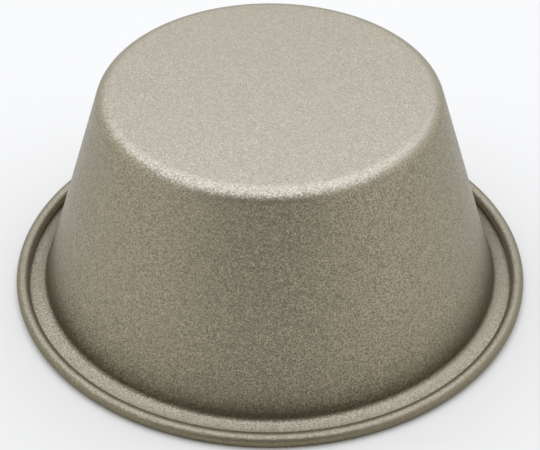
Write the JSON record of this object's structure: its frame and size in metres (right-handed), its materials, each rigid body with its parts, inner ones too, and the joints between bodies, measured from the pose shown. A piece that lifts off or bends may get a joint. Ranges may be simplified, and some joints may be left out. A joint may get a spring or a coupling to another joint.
{
  "type": "pudding mould",
  "caption": "Round tapered pudding mould pressed from coated steel sheet, shown mouth down, with a rounded base corner, a narrow flange and an edge rolled over a wire.",
  "frame": {"origin": "centre of the plane that the rim rests on, at the mouth", "axes": "+Z along the mould's axis, from the mouth towards the base; X and Y are equal, because the mould is round"},
  "size_m": [0.112, 0.112, 0.0481],
  "materials": {
    "coat": "satin metallic non-stick coat, champagne grey with a fine speckle",
    "wire": "bare drawn steel wire"
  },
  "bodies": {
    "root": {"pressed_shell": "coat", "rim_wire": "wire"}
  },
  "joints": []
}
